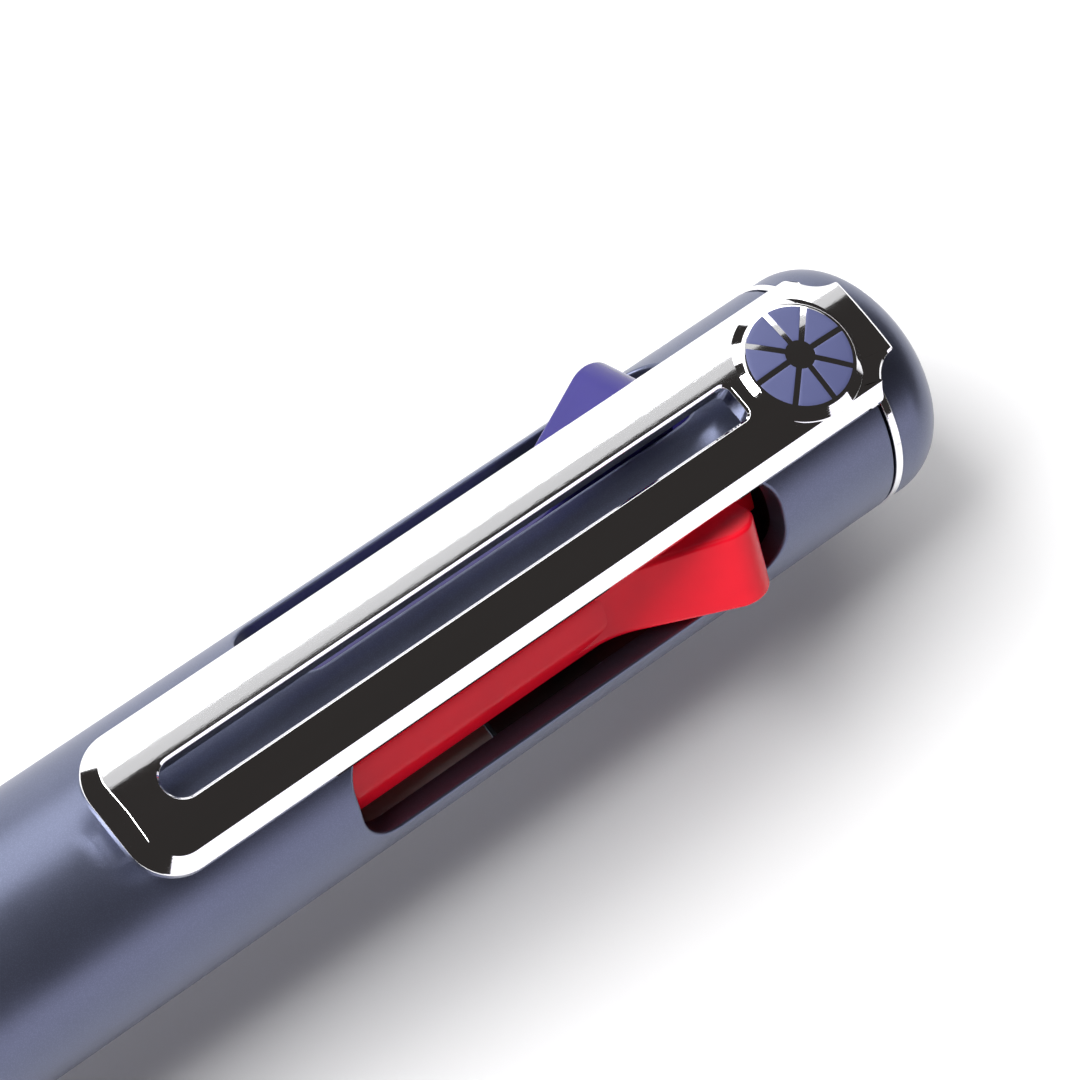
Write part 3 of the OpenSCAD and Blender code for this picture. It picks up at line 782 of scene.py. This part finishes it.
def clip_badge():
    """Eight enamel segments round a chrome centre, following the boss's dome."""
    data = bpy.data.meshes.new("clip_badge_enamel")
    place = CLIP_PLACE @ Matrix.Translation((PIVOT_X, 0, 0))
    bm = bmesh.new()
    rows, columns = 8, 8
    for segment in range(BADGE_SEGMENTS):
        middle = 2 * math.pi * (segment + 0.5) / BADGE_SEGMENTS
        grid = []
        for i in range(rows + 1):
            r = BADGE_CENTRE_R + (BADGE_R - BADGE_CENTRE_R) * i / rows
            half = math.pi / BADGE_SEGMENTS - math.asin(BADGE_GAP / r)
            turns = [middle - half + 2 * half * j / columns for j in range(columns + 1)]
            row = [Vector((r * math.cos(a), r * math.sin(a), dome(r) + BADGE_PROUD)) for a in turns]
            grid.append([bm.verts.new(place @ point) for point in row])
        for low, high in zip(grid, grid[1:]):
            for j in range(columns):
                bm.faces.new((low[j], low[j + 1], high[j + 1], high[j]))
    bmesh.ops.recalc_face_normals(bm, faces=bm.faces)
    if bm.faces[0].normal.z < 0:
        bmesh.ops.reverse_faces(bm, faces=bm.faces)
    bm.to_mesh(data)
    bm.free()
    data.shade_smooth()
    badge = link("clip_badge_enamel", data)
    thick = badge.modifiers.new("thick", "SOLIDIFY")
    thick.thickness, thick.offset = 0.2 * MM, -1
    soft = badge.modifiers.new("soft", "BEVEL")
    soft.width, soft.segments, soft.limit_method = 0.03 * MM, 2, "ANGLE"
    dress(badge, "enamel", "clip", "clip_badge")


# ---- sliders ----

BAR_TOP, BAR_LOW, BAR_HALF = 4.6, 2.6, 1.8
BAR_FRONT = 98
BAR_REAR = SEAT_X - 7.2
THUMB_HALF = 2.1
THUMB_TOP = 7.95
CREST_X = SEAT_X - 11.3
CREST_R = 1.5
HOLLOW_R = 5.3
RAMP = math.radians(31.3)
REFILL_R = 2.9
TOE_REACH = 4.5
TOE_DIP = 0.42
STEM_R = 1.0
PLUG_R = 0.7
COLLAR_R = 1.15
STEM_SIDES = 32
FOOT_HALF, FOOT_LOW, FOOT_TOP, FOOT_LENGTH = 1.2, 1.9, 3.1, 3
TAIL_HALF, TAIL_LOW, TAIL_TOP = 1.2, BAR_LOW + 0.02, 3.2
CATCH_HALF, CATCH_LOW, CATCH_TOP, CATCH_LENGTH = 1.1, BAR_LOW - 0.15, 2.95, 1.2
STEM_FRONT = 73
COLLAR_FRONT, COLLAR_REAR = 77.15, 79


def refill_axis(angle):
    """The line of one refill, with Z along the pen, in mm."""
    turn = Matrix.Rotation(math.radians(90), 4, "Y")
    return pen_side(angle) @ Matrix.Translation((0, 0, REFILL_R)) @ turn


def thumb_outline():
    """The thumb piece from the side as (along, out): a hollow ramp up to a round crest."""
    rear = CREST_X + CREST_R
    top_x = CREST_X - CREST_R * math.sin(RAMP)
    top_h = THUMB_TOP - CREST_R + CREST_R * math.cos(RAMP)
    corner_h = top_h + (rear - top_x) * math.tan(RAMP)
    foot_x = top_x - (top_h - BAR_TOP) / math.tan(RAMP)
    front = foot_x - TOE_REACH
    return rounded([(front, BAR_TOP - 0.9, 0.02), (rear, BAR_TOP - 0.9, 0.02),
                    (rear, corner_h, CREST_R, 16), (foot_x, BAR_TOP, HOLLOW_R, 12),
                    (front, BAR_TOP - TOE_DIP, 0.02)])


def thumb_taper(x):
    """The thumb piece is as narrow and as round as the bar at its toe, and widens towards the crest."""
    share = min(max((x - CREST_X + 7.5) / 6, 0), 1)
    left = 1 - share * share * (3 - 2 * share)
    return (THUMB_HALF - BAR_HALF + 0.03) * left, 0.25 * left


def bar_outline():
    return rounded([(-BAR_HALF, BAR_LOW, 0.1), (BAR_HALF, BAR_LOW, 0.1), (BAR_HALF, BAR_TOP - 0.4, 0.2),
                    (0.8, BAR_TOP, 2), (-0.8, BAR_TOP, 2), (-BAR_HALF, BAR_TOP - 0.4, 0.2)])


def block(half, low, high, low_corner, high_corner):
    """A plain section seen along the pen, with one radius for its lower corners and one for its upper."""
    return rounded([(-half, low, low_corner), (half, low, low_corner),
                    (half, high, high_corner), (-half, high, high_corner)])


def slider(colour, angle):
    shape = Shape(lying_along(angle))
    thumb_rear = CREST_X + CREST_R
    prism(shape, bar_outline(), BAR_FRONT, thumb_rear - 0.1, 0.18)
    foot = block(FOOT_HALF, FOOT_LOW, FOOT_TOP, 0.15, 0.05)
    prism(shape, foot, BAR_FRONT + 0.02, BAR_FRONT + FOOT_LENGTH, 0.1)
    tail = block(TAIL_HALF, TAIL_LOW, TAIL_TOP, 0.08, 0.2)
    prism(shape, tail, thumb_rear - 0.5, BAR_REAR, 0.06)
    catch = block(CATCH_HALF, CATCH_LOW, CATCH_TOP, 0.08, 0.05)
    prism(shape, catch, BAR_REAR - CATCH_LENGTH, BAR_REAR - 0.02, 0.06)
    shape.place = standing_across(angle)
    prism(shape, thumb_outline(), -THUMB_HALF, THUMB_HALF, 0.22, 5, thumb_taper)
    shape.place = refill_axis(angle)
    stem_rear = BAR_FRONT + 0.5
    stem = rounded([(0, STEM_FRONT, 0), (PLUG_R, STEM_FRONT, 0.15), (PLUG_R, COLLAR_FRONT, 0.05),
                    (COLLAR_R, COLLAR_FRONT, 0.1), (COLLAR_R, COLLAR_REAR, 0.1),
                    (STEM_R, COLLAR_REAR, 0.05), (STEM_R, stem_rear, 0.05), (0, stem_rear, 0)])
    lathe(shape, stem, STEM_SIDES)
    slot = {"black": "slider_black"}.get(colour, colour + "_plastic")
    dress(shape.build("slider_" + colour + "_button"), slot, "slide_" + colour, "slider_" + colour)


# ---- springs ----

SPRING_FRONT, SPRING_REAR = 82.05, BAR_FRONT - 0.05
WIRE_R = 0.17
COIL_R = 1.42
COILS = 9
CLIP_SPRING_X = SEAT_X - 1.75
CLIP_SPRING_LOW, CLIP_SPRING_HIGH = 6.42, CLIP_UNDER - 0.08
CLIP_COIL_R = 0.8
CLIP_WIRE_R = 0.12
CLIP_COILS = 3


def coil_path(low, high, radius, wire_r, turns, steps=24):
    """A helix along Z between two flat ends, with its first and last turns closed."""
    span = high - low - 2 * wire_r
    closed = 2 * wire_r
    path = []
    for i in range(turns * steps + 1):
        t = i / steps
        middle = min(max(t - 1, 0), turns - 2) / (turns - 2)
        ends = closed * (min(t, 1) + max(t - turns + 1, 0))
        z = low + wire_r + ends + (span - 2 * closed) * middle
        path.append(Vector((radius * math.cos(2 * math.pi * t), radius * math.sin(2 * math.pi * t), z)))
    return path


def slider_spring(colour, angle):
    shape = Shape(refill_axis(angle))
    wire(shape, coil_path(SPRING_FRONT, SPRING_REAR, COIL_R, WIRE_R, COILS), WIRE_R)
    node = "spring_" + colour
    spring = dress(shape.build(node + "_coil"), "spring_steel", "rear", node)
    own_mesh(spring)


def clip_spring():
    place = CLIP_PLACE @ Matrix.Translation((CLIP_SPRING_X, 0, 0))
    shape = Shape(place)
    path = coil_path(CLIP_SPRING_LOW, CLIP_SPRING_HIGH, CLIP_COIL_R, CLIP_WIRE_R, CLIP_COILS, 20)
    wire(shape, path, CLIP_WIRE_R, 8)
    spring = dress(shape.build("clip_spring_coil"), "spring_steel", "rear", "clip_spring")
    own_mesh(spring)


# ---- CAD nodes that are shown as they are ----

CARRIED = {"guide_core": "guide_plastic", "latch_core": "black_plastic", "threaded_insert": "brass",
           "clip_foot": "steel", "clip_pin": "steel"}


def carry(node, slot):
    obj = NODES[node]
    for held in obj.material_slots:
        held.material = FINISHES[slot]


# ---- floor, light and camera ----

def plain(name, colour, rough, glow=0.0):
    material = bpy.data.materials.new(name)
    material.use_nodes = True
    shader = material.node_tree.nodes["Principled BSDF"]
    shader.inputs["Base Color"].default_value = (*colour, 1)
    shader.inputs["Roughness"].default_value = rough
    shader.inputs["Specular IOR Level"].default_value = 0.1
    shader.inputs["Emission Color"].default_value = (*colour, 1)
    shader.inputs["Emission Strength"].default_value = glow
    return material


def floor():
    half = 4.0
    corners = [(-half, -half, 0), (half, -half, 0), (half, half, 0), (-half, half, 0)]
    data = bpy.data.meshes.new("floor")
    data.from_pydata(corners, [], [(0, 1, 2, 3)])
    data.materials.append(plain("floor_paper", (0.93, 0.93, 0.93), 0.9, 0.03))
    link("floor", data)


def softbox(name, toward, distance, width, height, strength, tint=(1, 1, 1)):
    """A rectangular light aimed at the pen from a direction, its width lying along the pen."""
    data = bpy.data.lights.new(name, "AREA")
    data.shape = "RECTANGLE"
    data.size, data.size_y = width, height
    data.energy = strength
    data.color = tint
    lamp = link(name, data)
    back = Vector(toward).normalized()
    along_pen = Vector((1, 0, 0))
    x = (along_pen - back * along_pen.dot(back)).normalized()
    y = back.cross(x)
    turn = Matrix((x, y, back)).transposed().to_4x4()
    lamp.matrix_world = Matrix.Translation(back * distance) @ turn


VIEW_HEADING, VIEW_DOWN, VIEW_ROLL = 14.19, 65.21, 40.34
VIEW_DISTANCE = 0.2349
VIEW_AIM = Vector((0.04995, 0.00173, AXIS_Z))
LENS, SENSOR = 162.27, 36


def camera():
    heading, down, roll = (math.radians(a) for a in (VIEW_HEADING, VIEW_DOWN, VIEW_ROLL))
    level_part = math.cos(down)
    ahead = Vector((math.cos(heading) * level_part, math.sin(heading) * level_part, -math.sin(down)))
    level = ahead.cross(UP).normalized()
    right = level * math.cos(roll) + level.cross(ahead) * math.sin(roll)
    data = bpy.data.cameras.new("camera")
    data.lens, data.sensor_width = LENS, SENSOR
    data.clip_start, data.clip_end = 0.01, 20
    shot = link("camera", data)
    turn = Matrix((right, right.cross(ahead), -ahead)).transposed().to_4x4()
    shot.matrix_world = Matrix.Translation(VIEW_AIM - ahead * VIEW_DISTANCE) @ turn
    bpy.context.scene.camera = shot


def light():
    world = bpy.data.worlds.new("studio")
    world.use_nodes = True
    world.node_tree.nodes["Background"].inputs["Color"].default_value = (1.0, 0.9, 0.85, 1)
    world.node_tree.nodes["Background"].inputs["Strength"].default_value = 0.03
    bpy.context.scene.world = world
    softbox("back", (0.10, 0.83, 0.56), 1.6, 2.4, 1.4, 28)
    softbox("back_edge", (0.10, 0.50, 0.86), 1.6, 2.4, 0.16, 0.8)
    softbox("above", (-0.55, 0.42, 0.72), 1.6, 1.1, 0.9, 36)
    softbox("low", (0.05, -0.97, 0.24), 1.8, 3.4, 1.1, 18, tint=(0.94, 0.91, 1.0))


# ---- the pen ----

rear_barrel()
cap()
cap_ring()
front_barrel()
grip()
nose_cone()
centre_ring()
clip()
clip_boss()
clip_badge()
for colour, angle in COLOURS.items():
    slider(colour, angle)
    slider_spring(colour, angle)
    carry("tube_" + colour, "tube_plastic")
    carry("tip_" + colour, "nickel_silver")
    carry("ball_" + colour, "carbide")
    carry("ink_" + colour, "ink_" + colour)
clip_spring()
for node, slot in CARRIED.items():
    carry(node, slot)
floor()
light()
camera()
bpy.context.scene.view_settings.view_transform = "Standard"
